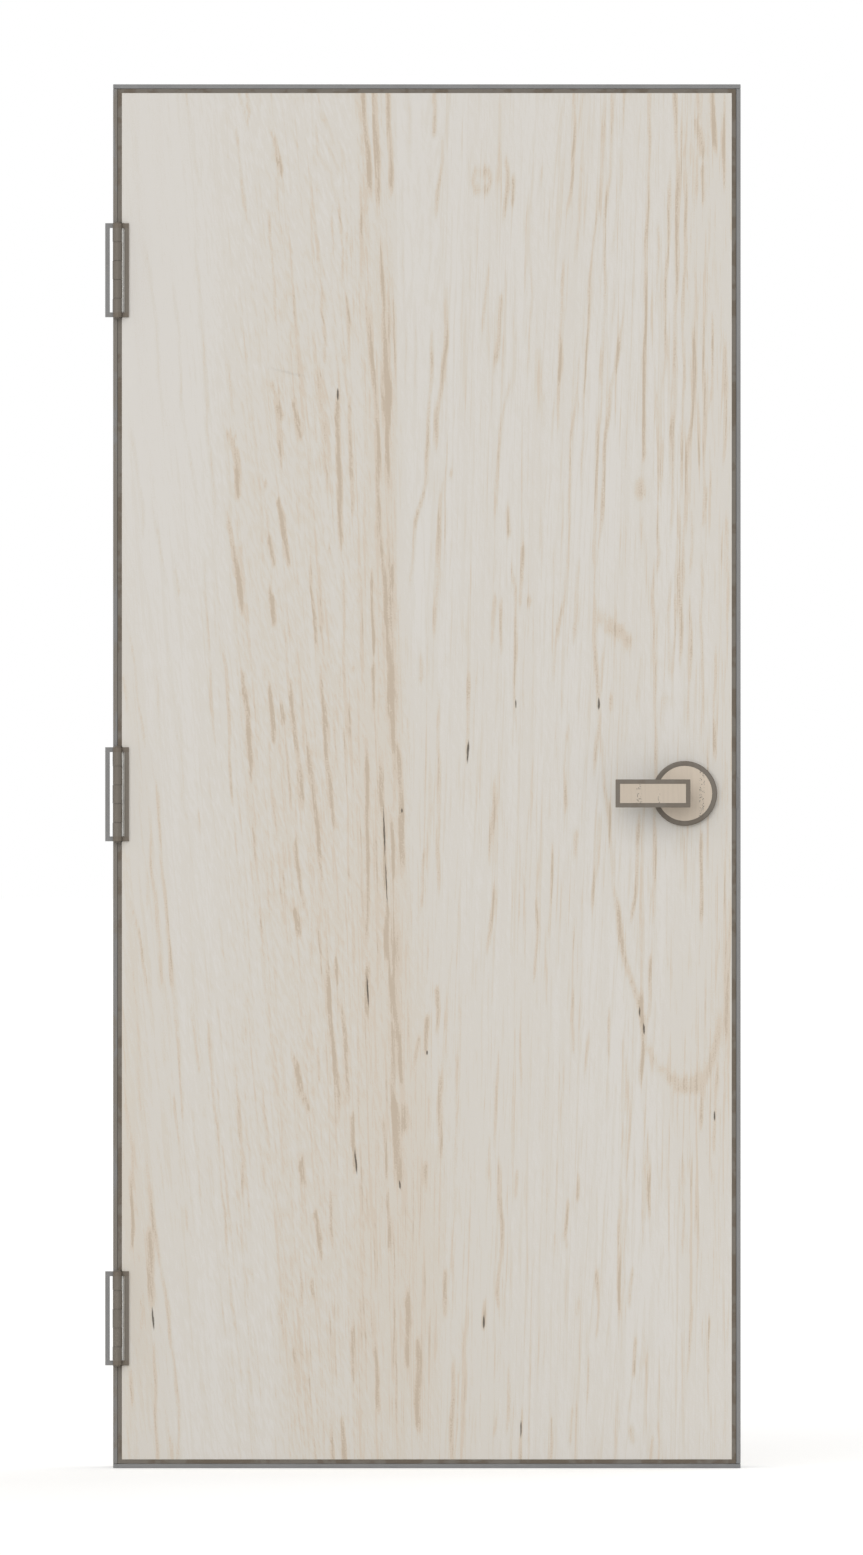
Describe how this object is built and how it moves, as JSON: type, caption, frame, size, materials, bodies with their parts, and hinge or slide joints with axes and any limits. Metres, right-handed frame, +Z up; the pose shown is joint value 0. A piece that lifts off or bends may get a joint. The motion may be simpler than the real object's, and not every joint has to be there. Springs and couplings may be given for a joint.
{
  "type": "wooden door",
  "caption": "Flush wooden door leaf on side hinges in a slim steel frame, with a lever and round rose on each side and a latch and strike at the other edge.",
  "frame": {"origin": "centre of the sill's flat underside, on the floor in the middle of the doorway", "axes": "+Z up; +X across the doorway from the hinge side to the latch side; -Y towards the side that the leaf opens to"},
  "size_m": [0.9388, 0.1586, 2.0447],
  "materials": {
    "pale_veneer": "pale veneer under a matt lacquer",
    "edge_wood": "planed solid edging",
    "core_board": "raw board",
    "grey_steel": "satin grey paint",
    "bronze_grey_steel": "satin brown-grey coating",
    "tan_wood": "oiled tan wood",
    "bright_steel": "brushed",
    "seal_rubber": "matt"
  },
  "bodies": {
    "frame": {"frame_sill": "grey_steel", "frame_head": "grey_steel", "hinge_jamb": "bronze_grey_steel", "latch_jamb": "grey_steel", "hinge_side_stop": "grey_steel", "latch_side_stop": "grey_steel", "head_stop": "grey_steel", "hinge_side_seal": "seal_rubber", "latch_side_seal": "seal_rubber", "head_seal": "seal_rubber", "strike_plate": "bright_steel", "bottom_hinge_frame_plate": "bronze_grey_steel", "middle_hinge_frame_plate": "bronze_grey_steel", "top_hinge_frame_plate": "bronze_grey_steel", "bottom_hinge_pin": "bronze_grey_steel", "middle_hinge_pin": "bronze_grey_steel", "top_hinge_pin": "bronze_grey_steel"},
    "leaf": {"leaf_core": "core_board", "hinge_stile": "edge_wood", "latch_stile": "edge_wood", "top_rail": "edge_wood", "bottom_rail": "edge_wood", "front_face": "pale_veneer", "back_face": "pale_veneer", "bottom_hinge_door_plate": "bronze_grey_steel", "middle_hinge_door_plate": "bronze_grey_steel", "top_hinge_door_plate": "bronze_grey_steel", "latch_faceplate": "bright_steel", "latch_bolt": "bright_steel", "latch_case": "bright_steel", "lock_chassis": "bright_steel", "front_rose_ring": "bronze_grey_steel", "front_rose_cover": "tan_wood", "back_rose_ring": "bronze_grey_steel", "back_rose_cover": "tan_wood"},
    "lever_set": {"front_lever": "bronze_grey_steel", "front_lever_inlay": "tan_wood", "back_lever": "bronze_grey_steel", "back_lever_inlay": "tan_wood", "lever_spindle": "bright_steel"}
  },
  "joints": [
    {"name": "leaf_swing", "type": "hinge", "parent": "frame", "child": "leaf", "pos_m": [-0.4572, -0.0584, 0.9955], "axis": [0, 0, -1], "range_deg": [0, 170]},
    {"name": "lever_turn", "type": "hinge", "parent": "leaf", "child": "lever_set", "pos_m": [0.38075, -0.02857, 0.997], "axis": [0, -1, 0], "range_deg": [0, 45], "stiffness_Nm_per_rad": 1, "springref_deg": -40.11}
  ]
}
